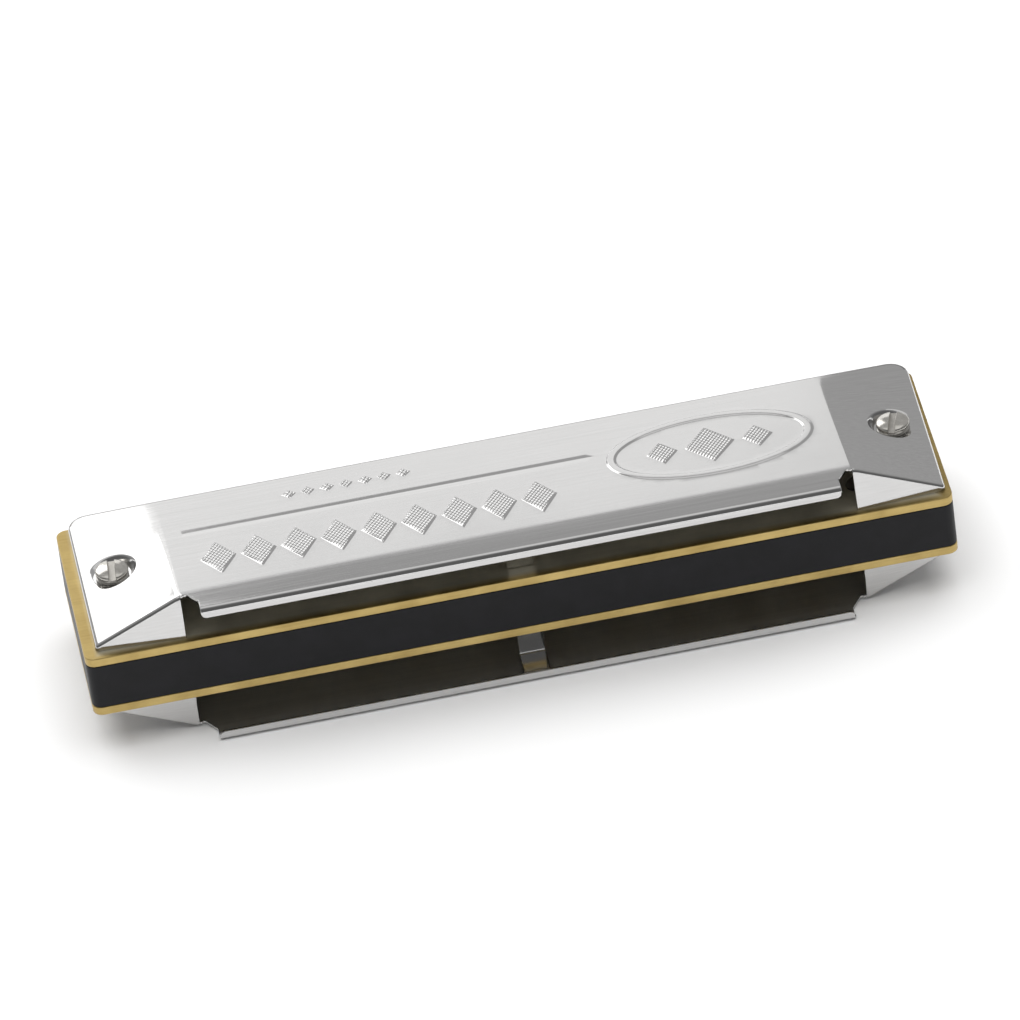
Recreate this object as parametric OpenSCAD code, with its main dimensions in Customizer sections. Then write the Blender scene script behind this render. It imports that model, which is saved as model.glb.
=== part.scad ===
// Ten-hole diatonic harmonica. The mouth holes face -Y, the covers open towards +Y,
// and hole 1 (the lowest notes) is at -X. Z = 0 is the middle of the comb.

/* [Body] */
// Length of the comb and the reed plates
body_l = 101.6; // [101:0.1:104]
// Depth of the comb and the reed plates, mouth edge to rear edge
body_w = 26; // [25.8:0.1:27]
// Thickness of the comb
comb_h = 5.8; // [5.4:0.1:7]
// Thickness of a reed plate
plate_t = 1.1; // [0.9:0.05:1.3]
// Radius of the upright corners of the comb and the reed plates
corner_r = 1.2; // [0.5:0.1:2]

/* [Holes] */
// Spacing of the mouth holes
hole_pitch = 7.5; // [7.3:0.05:7.6]
// Width of a mouth hole and of the chamber behind it
chamber_w = 5; // [4.6:0.1:5.3]

/* [Reeds] */
// Free length of the longest reed, at hole 1
longest_reed = 15.5; // [14:0.1:15.7]
// Free length of the shortest reed, at hole 10
shortest_reed = 8.2; // [7.5:0.1:10]
// Width of the longest reed at its root
widest_reed = 2.4; // [2.1:0.05:2.5]
// Width of the shortest reed at its root
narrowest_reed = 1.9; // [1.7:0.05:2]
// Thickness of a reed at its root
reed_t = 0.25; // [0.2:0.01:0.28]
// Gap between a reed's edge and its slot
reed_gap = 0.06; // [0.04:0.01:0.1]

/* [Covers] */
// Length of a cover
cover_l = 99.6; // [99:0.1:100.4]
// Thickness of the cover's sheet
sheet_t = 0.4; // [0.3:0.05:0.5]
// Height of a cover's front wall above the reed plate
front_h = 2.45; // [2.2:0.05:2.6]
// Height of a cover's rear bend above the reed plate
rear_h = 5.8; // [5.4:0.05:6]
// Height of a cover's rear corner above the reed plate
end_h = 0.6; // [0.5:0.05:1]
// How far the rear bend reaches past the reed plate
overhang = 1.85; // [1.5:0.05:2.2]
// Length of the flat centre panel
panel_l = 79; // [78:0.1:80]
// Length of the rear lip
lip_l = 74.6; // [73:0.1:75]
// Height of the rear lip
lip_h = 1.6; // [1.4:0.05:1.7]
// How far the covers and their screws sit from the middle, towards hole 10
cover_shift = -0.4; // [-0.4:0.1:0.4]

/* [Fasteners] */
// Distance of a cover screw from the middle of the harmonica
screw_x = 46; // [45.5:0.1:46.2]
// Diameter of a cover screw's head
head_d = 3.9; // [3.6:0.1:4.1]

/* [Hidden] */

$fn = 32;
HOLES = 10;
steel = [0.78, 0.78, 0.77];
brass = [0.74, 0.60, 0.34];
black = [0.13, 0.13, 0.14];
past = 1; // how far a cutter runs past the face it opens

// Levels
comb_top = comb_h / 2;
plate_top = comb_top + plate_t;

// Reed layout, numbered from 0 at hole 1
root_t = 0.3;       // thickness of a riveted reed root
root_l = 3.2;       // length of a riveted reed root
root_w = 3;         // width of a riveted reed root
root_gap = 0.02;    // gap between a root and its tongue
blow_root_y = -7.4; // root end of every blow slot, near the mouth
draw_tip_y = -7.5;  // tip of every draw reed, near the mouth
tip_gap = 0.12;     // gap between a reed's tip and its slot
tip_width = 0.86;   // width of a tongue at its tip, as a part of its width at the root
tip_thin = 0.8;     // thickness at the tip, as a part of its thickness at the root
tip_clip = 0.25;    // clipped corner of a tip
chamber_past = 0.7; // from a reed's tip to the end of its chamber
function hole_x(i) = (i - (HOLES - 1) / 2) * hole_pitch;
function between(first, last, i) = first + (last - first) * i / (HOLES - 1);
function reed_l(i) = between(longest_reed, shortest_reed, i);
function reed_w(i) = between(widest_reed, narrowest_reed, i);
function draw_root_y(i) = draw_tip_y + reed_l(i);
function chamber_end(i) = blow_root_y + reed_l(i) + chamber_past;

// Rivets
rivet_r = 0.68;      // shank
rivet_hole_r = 0.7;
rivet_head_r = 1;
rivet_head_h = 0.35;
rivet_crown_r = 0.6; // flat top of a rivet's head
rivet_peen_h = 0.2;  // formed end of a blow rivet, outside the upper plate
rivet_peen_r = 0.9;  // where the formed end meets the plate
rivet_inset = 1.65;  // from the root's tongue end to the rivet's axis

// Cover screws and nuts
bolt_r = 1;
bolt_hole_r = 1.1;
head_h = 1.3;
head_bevel = 0.5;    // across the bevel around a screw head's top
bevel_h = 0.45;      // height of that bevel
drive_w = 0.78;      // width of a screw's slot
drive_depth = 0.65;
seat_h = 1.8;        // height of a dimple's floor above the reed plate
dimple_r = 2.6;
nut_h = 1.3;
nut_flats = 4;

// Small countersunk screws that hold the reed plates to the comb
pin_x = 40.8;
pin_y = 7;
pin_r = 0.68;
pin_hole_r = 0.7;
pin_head_r = 1.5;
pin_head_h = 0.7;
pin_l = 3.2;
pin_fit = 0.02;      // gap under and around the countersunk head
pin_drive_w = 0.4;   // slot in the head
pin_drive_depth = 0.35;
PINS = [[-pin_x, -pin_y], [-pin_x, pin_y], [pin_x, -pin_y], [pin_x, pin_y], [0, 7.2]];

// Cover outline
cover_half = cover_l / 2;
panel_half = panel_l / 2;
front_inset = 0.7;   // from the plates' mouth edge to a cover's front wall
flank_inset = 1.45;  // from the plates' rear edge to a cover's flanks
cover_front = -body_w / 2 + front_inset;
cover_flank = body_w / 2 - flank_inset;
cover_rear = body_w / 2 + overhang;
cover_corner_r = 2.5;
front_edge_r = 0.8;
rear_edge_r = 0.6;
slope = (rear_h - front_h) / (cover_rear - cover_front);
lip_free = rear_h - lip_h;
leg_w = 3.15;
leg_reach = 4.15;    // from the rear bend to the leg's rear face
leg_rear = cover_rear - leg_reach;
visor_l = 4.8;       // depth of the bent rear, measured from the rear bend
end_steps = 6;       // sections across each sloping end panel

// The comb and plates reach from the mouth face to the rear face; the covers' rear bends
// reach further, so everything shifts by half of that to centre the whole harmonica.
module centred() {
    translate([0, -overhang / 2, 0]) children();
}

module slab(length, depth, height, radius) {
    cube([length - 2 * radius, depth, height], center = true);
    cube([length, depth - 2 * radius, height], center = true);
    for (sx = [-1, 1], sy = [-1, 1])
        translate([sx * (length / 2 - radius), sy * (depth / 2 - radius), 0])
            cylinder(h = height, r = radius, center = true);
}

// The middle of the covers, their screws and the holes for those
module shifted() {
    translate([cover_shift, 0, 0]) children();
}

module bolt_holes(height) shifted() {
    for (side = [-1, 1])
        translate([side * screw_x, 0, 0])
            cylinder(h = height, r = bolt_hole_r, center = true);
}

// One piece from low to high along Y, with its width about x and its span from z_low to z_high
module bar(x, width, y_low, y_high, z_low, z_high) {
    translate([x - width / 2, y_low, z_low])
        cube([width, y_high - y_low, z_high - z_low]);
}

module chamber(i) {
    bar(hole_x(i), chamber_w, -body_w / 2 - past, chamber_end(i), -comb_h, comb_h);
}

module comb() color(black) centred() {
    difference() {
        slab(body_l, body_w, comb_h, corner_r);
        for (i = [0:HOLES - 1]) chamber(i);
        bolt_holes(comb_h + 2 * past);
        for (at = PINS, side = [0, 1])
            mirror([0, 0, side])
                translate([at.x, at.y, plate_top - pin_l - pin_fit])
                    cylinder(h = pin_l, r = pin_hole_r);
    }
}

// A reed plate with its outer face up, as the upper plate lies
module reed_plate() {
    difference() {
        translate([0, 0, comb_top + plate_t / 2]) slab(body_l, body_w, plate_t, corner_r);
        bolt_holes(3 * plate_top);
        for (at = PINS) translate([at.x, at.y, 0]) {
            cylinder(h = 2 * plate_top, r = pin_hole_r);
            translate([0, 0, plate_top - pin_head_h - pin_fit])
                cylinder(h = pin_head_h + 2 * pin_fit, r1 = pin_hole_r, r2 = pin_head_r + 2 * pin_fit);
        }
        children();
    }
}

module upper_reed_plate() color(brass) centred() {
    reed_plate() for (i = [0:HOLES - 1]) {
        bar(hole_x(i), reed_w(i) + 2 * reed_gap, blow_root_y - root_gap,
            blow_root_y + reed_l(i) + tip_gap, 0, 2 * plate_top);
        translate([hole_x(i), blow_root_y - rivet_inset, 0])
            cylinder(h = 2 * plate_top, r = rivet_hole_r);
    }
}

module lower_reed_plate() color(brass) centred() mirror([0, 0, 1]) {
    reed_plate() for (i = [0:HOLES - 1]) {
        bar(hole_x(i), reed_w(i) + 2 * reed_gap, draw_tip_y - tip_gap,
            draw_root_y(i) + root_gap, 0, 2 * plate_top);
        translate([hole_x(i), draw_root_y(i) + rivet_inset, 0])
            cylinder(h = 2 * plate_top, r = rivet_hole_r);
    }
}

// A reed's tongue, lying on z = 0 with its root end at the origin and its tip towards +Y.
// It narrows and thins slightly towards the tip, which has clipped corners.
module tongue(length, width) {
    tip = tip_width * width / 2;
    clip = tip_clip;
    intersection() {
        linear_extrude(height = reed_t)
            polygon([[-width / 2, 0], [width / 2, 0], [tip, length - clip],
                [tip - clip, length], [clip - tip, length], [-tip, length - clip]]);
        translate([-width, 0, 0]) rotate([90, 0, 90])
            linear_extrude(height = 2 * width)
                polygon([[0, 0], [length, 0], [length, tip_thin * reed_t], [0, reed_t]]);
    }
}

// Blow reeds lie under the upper plate, inside the chambers
module blow_reed(i) color(brass) centred() {
    translate([hole_x(i), blow_root_y, comb_top]) mirror([0, 0, 1])
        tongue(reed_l(i), reed_w(i));
}

// Draw reeds lie outside the lower plate, under the lower cover
module draw_reed(i) color(brass) centred() {
    translate([hole_x(i), draw_root_y(i), -plate_top]) rotate([180, 0, 0])
        tongue(reed_l(i), reed_w(i));
}

// A riveted root, lying on z = 0, with its tongue end at the origin
module reed_root() {
    difference() {
        bar(0, root_w, -root_l, -root_gap, 0, root_t);
        translate([0, -rivet_inset, -past]) cylinder(h = root_t + 2 * past, r = rivet_hole_r);
    }
}

module blow_reed_roots() color(brass) centred() {
    for (i = [0:HOLES - 1])
        translate([hole_x(i), blow_root_y, comb_top]) mirror([0, 0, 1]) reed_root();
}

module draw_reed_roots() color(brass) centred() {
    for (i = [0:HOLES - 1])
        translate([hole_x(i), draw_root_y(i), -plate_top]) rotate([180, 0, 0]) reed_root();
}

// A rivet with its head standing on z = 0 towards +Z and its shank running down
module rivet(shank, peen) {
    translate([0, 0, -shank]) cylinder(h = shank + rivet_head_h / 2, r = rivet_r);
    cylinder(h = rivet_head_h / 2, r = rivet_head_r);
    translate([0, 0, rivet_head_h / 2])
        cylinder(h = rivet_head_h / 2, r1 = rivet_head_r, r2 = rivet_crown_r);
    if (peen > 0) translate([0, 0, -shank - peen])
        cylinder(h = peen, r1 = rivet_r, r2 = rivet_peen_r);
}

module blow_reed_rivets() color(brass) centred() {
    for (i = [0:HOLES - 1])
        translate([hole_x(i), blow_root_y - rivet_inset, comb_top - root_t]) mirror([0, 0, 1])
            rivet(root_t + plate_t, rivet_peen_h);
}

module draw_reed_rivets() color(brass) centred() {
    for (i = [0:HOLES - 1])
        translate([hole_x(i), draw_root_y(i) + rivet_inset, -plate_top - root_t]) mirror([0, 0, 1])
            rivet(root_t + plate_t, 0);
}

// Countersunk screws of one reed plate, flush with its outer face
module plate_screws() {
    for (at = PINS) translate([at.x, at.y, plate_top]) difference() {
        union() {
            translate([0, 0, -pin_l]) cylinder(h = pin_l - pin_head_h / 2, r = pin_r);
            translate([0, 0, -pin_head_h]) cylinder(h = pin_head_h, r1 = pin_r, r2 = pin_head_r);
        }
        bar(0, pin_drive_w, -2 * pin_head_r, 2 * pin_head_r, -pin_drive_depth, past);
    }
}

module upper_plate_screws() color(steel) centred() plate_screws();

module lower_plate_screws() color(steel) centred() mirror([0, 0, 1]) plate_screws();

// Slotted cover screws. Each runs from the upper cover's dimple to the nut in the lower one.
module cover_screws() color(steel) centred() shifted() {
    seat = plate_top + seat_h;
    for (side = [-1, 1]) translate([side * screw_x, 0, seat]) difference() {
        union() {
            translate([0, 0, -2 * seat - nut_h]) cylinder(h = 2 * seat + nut_h + head_h / 2, r = bolt_r);
            cylinder(h = head_h - bevel_h, r = head_d / 2);
            translate([0, 0, head_h - bevel_h])
                cylinder(h = bevel_h, r1 = head_d / 2, r2 = head_d / 2 - head_bevel);
        }
        bar(0, drive_w, -head_d, head_d, head_h - drive_depth, head_h + past);
    }
}

module cover_nuts() color(steel) centred() shifted() {
    for (side = [-1, 1])
        translate([side * screw_x, 0, -plate_top - seat_h - nut_h]) difference() {
            cylinder(h = nut_h, r = nut_flats / sqrt(3), $fn = 6);
            translate([0, 0, -past]) cylinder(h = nut_h + 2 * past, r = bolt_r + pin_fit, $fn = 32);
        }
}

// Height of the centre panel above the reed plate
function panel_h(y) = front_h + slope * (y - cover_front);

// Height of a cover's top at the flank line: level along the centre panel, falling to each end
function flank_h(x) = abs(x) <= panel_half
    ? panel_h(cover_flank)
    : panel_h(cover_flank)
        + (end_h - panel_h(cover_flank)) * (abs(x) - panel_half) / (cover_half - panel_half);

// Places of the sections across the +X end, out to the rounded front corner
function end_places(inset) =
    let (flat = cover_half - cover_corner_r, r = cover_corner_r - inset)
    concat(
        [for (k = [0:end_steps]) [panel_half + (flat - panel_half) * k / end_steps, 0]],
        [for (a = [18:18:90]) [flat + r * sin(a), r * (1 - cos(a))]]);

// Outline of one section in Y and height: front wall, rounded front edge, sloping top, flank
function section(x, recess, inset) =
    let (
        front = cover_front + inset + recess,
        rear = cover_flank - inset,
        low = inset > 0 ? -past : 0,
        top_front = front_h - inset,
        top_rear = flank_h(x) - inset,
        r = front_edge_r - inset,
        rise = (top_rear - top_front) / (rear - front))
    concat(
        [[x, front, low]],
        [for (a = [0:22.5:90]) let (y = front + r * (1 - cos(a)))
            [x, y, top_front + rise * (y - front) - r * (1 - sin(a))]],
        [[x, rear, top_rear], [x, rear, low]]);

// Solid under a cover's top, or the hollow inside it when inset by the sheet's thickness
module cover_body(inset) {
    ends = end_places(inset);
    last = len(ends) - 1;
    sections = concat(
        [for (k = [last:-1:0]) section(-ends[k][0], ends[k][1], inset)],
        [for (k = [0:last]) section(ends[k][0], ends[k][1], inset)]);
    n = len(sections[0]);
    count = len(sections);
    points = [for (s = sections) each s];
    sides = [for (j = [0:count - 2], k = [0:n - 1])
        let (a = j * n + k, b = j * n + (k + 1) % n)
        each [[a, b, b + n], [a, b + n, a + n]]];
    caps = [[for (k = [n - 1:-1:0]) k], [for (k = [0:n - 1]) (count - 1) * n + k]];
    polyhedron(points = points, faces = concat(sides, caps));
}

// A sheet bent along X, drawn in Y and height and centred on x = 0
module bent_sheet(length, outline) {
    translate([-length / 2, 0, 0]) rotate([90, 0, 90])
        linear_extrude(height = length) polygon(outline);
}

// The rear of the centre panel, its bend and the lip below it
module visor() {
    start = cover_rear - visor_l;
    r = rear_edge_r;
    inner_r = r - sheet_t;
    bent_sheet(lip_l, concat(
        [[start, panel_h(start)]],
        [for (a = [0:18:90]) let (y = cover_rear - r + r * sin(a)) [y, panel_h(y) - r * (1 - cos(a))]],
        [[cover_rear, lip_free], [cover_rear - sheet_t, lip_free]],
        [for (a = [90:-30:0]) let (y = cover_rear - r + inner_r * sin(a))
            [y, panel_h(y) - sheet_t - inner_r * (1 - cos(a))]],
        [[start, panel_h(start) - sheet_t]]));
}

// The leg that props the lip on the reed plate
module leg() {
    front = leg_rear - sheet_t;
    bent_sheet(leg_w, [[leg_rear, 0], [leg_rear, lip_free], [cover_rear - sheet_t / 2, lip_free],
        [cover_rear - sheet_t / 2, lip_free + sheet_t], [leg_rear, lip_free + sheet_t],
        [front, lip_free], [front, 0]]);
}

// A cover standing on z = 0, as the upper cover lies
module cover() {
    difference() {
        union() {
            difference() {
                cover_body(0);
                cover_body(sheet_t);
                bar(0, panel_l, cover_flank - sheet_t - past, cover_flank + past, -past,
                    panel_h(cover_flank - sheet_t - past) - 2 * sheet_t);
            }
            visor();
            leg();
            for (side = [-1, 1]) intersection() {
                cover_body(0);
                translate([side * screw_x, 0, seat_h - sheet_t])
                    cylinder(h = rear_h, r = dimple_r + sheet_t);
            }
        }
        for (side = [-1, 1]) translate([side * screw_x, 0, 0]) {
            translate([0, 0, seat_h]) cylinder(h = rear_h, r = dimple_r);
            cylinder(h = rear_h, r = bolt_hole_r);
        }
    }
}

module upper_cover() color(steel) centred() shifted() translate([0, 0, plate_top]) cover();

module lower_cover() color(steel) centred() shifted() mirror([0, 0, 1])
    translate([0, 0, plate_top]) cover();

comb();
upper_reed_plate();
lower_reed_plate();
upper_cover();
lower_cover();
blow_reed_roots();
draw_reed_roots();
blow_reed_rivets();
draw_reed_rivets();
cover_screws();
cover_nuts();
upper_plate_screws();
lower_plate_screws();
for (i = [0:HOLES - 1]) {
    blow_reed(i);
    draw_reed(i);
}
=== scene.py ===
"""Ten-hole diatonic harmonica: pressed steel covers, brass reed plates and a black comb.

Lengths are in millimetres until a mesh is made, then in metres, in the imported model's frame:
mouth holes towards -Y, open backs towards +Y, hole 1 at -X. Floor and lights are in metres.
"""
import math

import bmesh
import bpy
import numpy as np
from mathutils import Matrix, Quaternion, Vector
from mathutils.geometry import delaunay_2d_cdt


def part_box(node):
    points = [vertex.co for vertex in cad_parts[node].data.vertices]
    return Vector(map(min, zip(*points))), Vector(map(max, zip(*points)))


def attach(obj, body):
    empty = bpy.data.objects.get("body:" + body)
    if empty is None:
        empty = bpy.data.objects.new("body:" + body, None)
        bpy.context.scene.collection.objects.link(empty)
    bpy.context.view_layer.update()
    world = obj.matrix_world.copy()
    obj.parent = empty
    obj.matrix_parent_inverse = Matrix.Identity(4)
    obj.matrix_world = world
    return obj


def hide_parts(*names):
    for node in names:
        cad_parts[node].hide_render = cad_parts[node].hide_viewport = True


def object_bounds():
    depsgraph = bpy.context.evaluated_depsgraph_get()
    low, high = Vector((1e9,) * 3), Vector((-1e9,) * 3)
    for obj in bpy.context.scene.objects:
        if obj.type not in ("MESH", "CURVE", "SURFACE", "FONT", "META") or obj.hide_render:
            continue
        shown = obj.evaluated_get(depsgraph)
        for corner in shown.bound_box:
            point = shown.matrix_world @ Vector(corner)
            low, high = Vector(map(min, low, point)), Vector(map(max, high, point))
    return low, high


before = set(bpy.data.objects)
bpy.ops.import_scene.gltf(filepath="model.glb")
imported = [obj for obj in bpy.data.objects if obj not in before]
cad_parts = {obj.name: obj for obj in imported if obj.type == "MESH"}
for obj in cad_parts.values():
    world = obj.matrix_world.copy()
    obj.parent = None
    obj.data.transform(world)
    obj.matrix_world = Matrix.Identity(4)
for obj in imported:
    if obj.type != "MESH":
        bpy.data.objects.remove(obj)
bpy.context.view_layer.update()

MM = 0.001


def box_mm(node):
    """Lowest and highest corner of a CAD node, in millimetres."""
    low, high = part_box(node)
    return [v / MM for v in low], [v / MM for v in high]


# --- Driving dimensions, in millimetres ---

PLATE_LOW, PLATE_HIGH = box_mm("upper_reed_plate")
COVER_LOW, COVER_HIGH = box_mm("upper_cover")
BODY_L = PLATE_HIGH[0] - PLATE_LOW[0]
BODY_W = PLATE_HIGH[1] - PLATE_LOW[1]
BODY_Y = (PLATE_HIGH[1] + PLATE_LOW[1]) / 2  # where the comb's middle lies along Y
COMB_TOP = PLATE_LOW[2]
PLATE_TOP = PLATE_HIGH[2]
CORNER_R = 1.2
COMB_EDGE_R = 0.14
PLATE_EDGE_R = 0.1

HOLES = 10
HOLE_PITCH = 7.5
CHAMBER_W = 5.0
LONGEST_REED = 15.5
SHORTEST_REED = 8.2
WIDEST_REED = 2.4
NARROWEST_REED = 1.9
REED_GAP = 0.06
BLOW_ROOT_Y = -7.4
DRAW_TIP_Y = -7.5
TIP_GAP = 0.12
ROOT_GAP = 0.02      # how far a slot runs past its tongue's fixed end
CHAMBER_PAST = 0.7   # how far a chamber runs past its blow reed's tip
CHAMBER_R = 0.6
RIVET_INSET = 1.65
RIVET_HOLE_R = 0.7

SCREW_X = 46.0
HEAD_R = 1.95
HEAD_H = 1.3
DRIVE_W = 0.78
DRIVE_DEPTH = 0.66
SLOT_LEAN = 0.012    # how far a slot's wall leans in
SLOT_BEVEL = 0.05
CROWN = 0.36         # how far a head's dome falls from its middle to its rim
SHOULDER = 0.14      # further fall over the rounded shoulder
SHOULDER_FROM = 0.88
RIM_H = 0.12
THREAD_PITCH = 0.3
THREAD_DEPTH = 0.12
BOLT_R = 1.0
BOLT_HOLE_R = 1.1
SEAT_H = box_mm("cover_screws")[1][2] - PLATE_TOP - HEAD_H
NUT_H = 1.3
NUT_FLATS = 4.0
PIN_HOLE_R = 1.54
PIN_X = 40.8
PIN_Y = 7.0
MIDDLE_PIN_Y = 7.2

SHEET_T = 0.4
FRONT_H = 2.45
FLANK_H = 5.39       # height of the centre panel at the flanks
END_H = 0.6          # height of a cover's rear corner
LIP_FREE = 4.2       # height of the lip's free edge
LIP_HALF = 37.3
COVER_HALF = (COVER_HIGH[0] - COVER_LOW[0]) / 2
COVER_X = (COVER_HIGH[0] + COVER_LOW[0]) / 2  # the covers sit this far from the comb's middle
PANEL_HALF = 39.5
FRONT_Y = COVER_LOW[1] - BODY_Y
REAR_Y = COVER_HIGH[1] - BODY_Y
FLANK_Y = 11.55
LEG_W = 3.15
LEG_T = SHEET_T - 0.02
UPPER_LEG_Y = (11.2, 10.7)   # where the leg's rear face stands at its fold and at its foot
LOWER_LEG_Y = (10.85, 11.2)
LEG_GAP = 0.1        # between a leg's foot and the reed plate


def hole_x(i):
    return (i - (HOLES - 1) / 2) * HOLE_PITCH


def between(first, last, i):
    return first + (last - first) * i / (HOLES - 1)


def reed_length(i):
    return between(LONGEST_REED, SHORTEST_REED, i)


def reed_width(i):
    return between(WIDEST_REED, NARROWEST_REED, i)


# --- Making objects ---

def link(mesh, name, material):
    obj = bpy.data.objects.new(name, mesh)
    bpy.context.scene.collection.objects.link(obj)
    mesh.materials.append(material)
    return obj


def to_row_frame(points, flip):
    """Millimetres from the covers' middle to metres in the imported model's frame. flip mirrors
    top to bottom."""
    out = np.array(points, dtype=float)
    out[:, 0] += COVER_X
    out[:, 1] += BODY_Y
    if flip:
        out[:, 2] *= -1
    return out * MM


def make_mesh(name, points, faces, flip=False, normals=None, marks=None):
    """A mesh from millimetre points. marks holds values from 0 to 1 for each point, by name."""
    where = to_row_frame(points, flip)
    if flip:
        faces = [tuple(reversed(f)) for f in faces]
    mesh = bpy.data.meshes.new(name)
    mesh.from_pydata([tuple(p) for p in where], [], [tuple(f) for f in faces])
    mesh.validate(clean_customdata=False)
    for mark, values in (marks or {}).items():
        layer = mesh.attributes.new(mark, "FLOAT", "POINT")
        layer.data.foreach_set("value", np.asarray(values, dtype=np.float32))
    mesh.shade_smooth()
    if normals is not None:
        facing = np.array(normals, dtype=float)
        if flip:
            facing[:, 2] *= -1
        mesh.normals_split_custom_set_from_vertices([tuple(n) for n in facing])
    mesh.update()
    return mesh


def weigh_normals(obj):
    """Keeps large flat faces flat beside rounded edges."""
    weigh = obj.modifiers.new("flat_faces", "WEIGHTED_NORMAL")
    weigh.mode = "FACE_AREA"
    weigh.keep_sharp = True


def stand_for(obj, slot, *nodes):
    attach(obj, "root")
    if nodes:
        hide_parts(*nodes)


# --- The pressed covers ---

FOLD_R = 0.45        # outer radius of the ends' top edges, and of the flanks' folds at the corners
FOLD_WIDE_R = 0.62   # outer radius of the flanks' folds beside the notches
FRONT_R = 0.8        # outer radius of the front edge
BEND_R = 0.8         # outer radius of the rear bend
PLAN_FRONT_R = 2.5   # radius of the front corners, seen from above
PLAN_REAR_R = 0.55   # radius of the rear corners, seen from above
CREASE = 0.35        # half the width of the crease between centre and end panels
ROLL_Y = 10.1        # where the centre panel starts to roll over towards the rear bend
ROLL_R = 40.0
FLANK_IN = 39.35     # inner edge of a flank
FLANK_LEAN = 0.13    # how far a flank's foot stands out, for each millimetre of its height
DIMPLE_FLOOR_R = 2.15
DIMPLE_RIM_R = 3.0
DIMPLE_RINGS = (1.7, DIMPLE_FLOOR_R, 2.3, 2.45, 2.6, 2.75, 2.9, DIMPLE_RIM_R, 3.12, 3.25)
RIM_OUT = 0.08       # how far the rounded rim stands past the sheet's edge
FOOT = 0.09          # height of the walls' lower edge, under which the rim turns
EMBOSS_H = 0.13
EMBOSS_EDGE = 0.34   # width of an embossed edge
DOT_PITCH_X = 0.5    # spacing of the dots on the embossed fields
DOT_PITCH_Y = 0.75
SLOPE_STEP = 0.01    # step over which a slope is measured


def smooth(t):
    t = np.clip(t, 0.0, 1.0)
    return t * t * (3 - 2 * t)


def past_crease(x):
    """How far x lies beyond the crease, softened across it."""
    t = np.abs(x) - PANEL_HALF
    soft = (t + CREASE) ** 2 / (4 * CREASE)
    return np.where(t < -CREASE, 0.0, np.where(t > CREASE, t, soft))


def panel_height(x, y):
    """The cover's top before dimples and embossing: a sloping centre and two twisted ends."""
    fall = (FLANK_H - END_H) / (COVER_HALF - PANEL_HALF)
    flank = FLANK_H - fall * past_crease(x)
    rise = (flank - FRONT_H) / (FLANK_Y - FRONT_Y)
    roll = np.maximum(y - ROLL_Y, 0.0) ** 2 / (2 * ROLL_R)
    ripple = 0.006 * np.sin(x / 7.3 + 0.4 * np.sin(y / 5.0)) * np.sin((y - FRONT_Y) / 7.6)
    return FRONT_H + rise * (y - FRONT_Y) - roll + ripple * (np.abs(x) < COVER_HALF)


class Lozenge:
    """A raised rhombus with a dotted field."""

    def __init__(self, x, y, half_w, half_h):
        self.x, self.y, self.half_w, self.half_h = x, y, half_w, half_h
        self.inner_r = half_w * half_h / math.hypot(half_w, half_h)

    def depth(self, x, y):
        """Distance inside the outline, negative outside."""
        reach = np.abs(x - self.x) / self.half_w + np.abs(y - self.y) / self.half_h
        return (1 - reach) * self.inner_r

    def outline(self, inset):
        k = 1 - inset / self.inner_r
        corners = [(self.half_w, 0), (0, self.half_h), (-self.half_w, 0), (0, -self.half_h)]
        steps = max(2, round(math.hypot(self.half_w, self.half_h) / 0.45))
        points = []
        for a, b in zip(corners, corners[1:] + corners[:1]):
            for s in range(steps):
                t = s / steps
                points.append((self.x + k * (a[0] + (b[0] - a[0]) * t),
                               self.y + k * (a[1] + (b[1] - a[1]) * t)))
        return points

    def outlines(self):
        return [self.outline(e * EMBOSS_EDGE) for e in (0, 0.25, 0.5, 0.75, 1)]


class Oval:
    """A raised oval ring."""

    def __init__(self, x, y, half_w, half_h, width):
        self.x, self.y, self.half_w, self.half_h, self.width = x, y, half_w, half_h, width

    def depth(self, x, y):
        dx, dy = (x - self.x) / self.half_w, (y - self.y) / self.half_h
        reach = np.hypot(dx, dy) + 1e-9
        slope = np.hypot(dx / self.half_w, dy / self.half_h) / reach + 1e-9
        return self.width / 2 - np.abs(reach - 1) / slope

    def outlines(self):
        half = self.width / 2
        rings = [s * (half - e * EMBOSS_EDGE) for s in (1, -1) for e in (0, 0.25, 0.5, 0.75, 1)]
        lines = []
        for off in rings:
            line = []
            for a in np.linspace(0, 2 * math.pi, 145)[:-1]:
                reach = 1 + off * math.hypot(math.cos(a) / self.half_w, math.sin(a) / self.half_h)
                line.append((self.x + self.half_w * reach * math.cos(a),
                             self.y + self.half_h * reach * math.sin(a)))
            lines.append(line)
        return lines


class Groove:
    """A fine engraved line along X."""

    def __init__(self, x_low, x_high, y, width):
        self.x_low, self.x_high, self.y, self.width = x_low, x_high, y, width

    def depth(self, x, y):
        beside = self.width / 2 - np.abs(y - self.y)
        return np.minimum(beside, np.minimum(x - self.x_low, self.x_high - x))

    def outlines(self):
        xs = np.arange(self.x_low, self.x_high, 1.0)
        return [[(x, self.y + off * self.width) for x in xs] for off in (-0.5, -0.25, 0, 0.25, 0.5)]


def lozenge_row(count, first_x, pitch, y, half_w, half_h, raised=EMBOSS_H, edge=EMBOSS_EDGE):
    """Equal lozenges in a row that runs towards -X."""
    return [(Lozenge(first_x - pitch * i, y, half_w, half_h), raised, edge, True) for i in range(count)]


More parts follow.
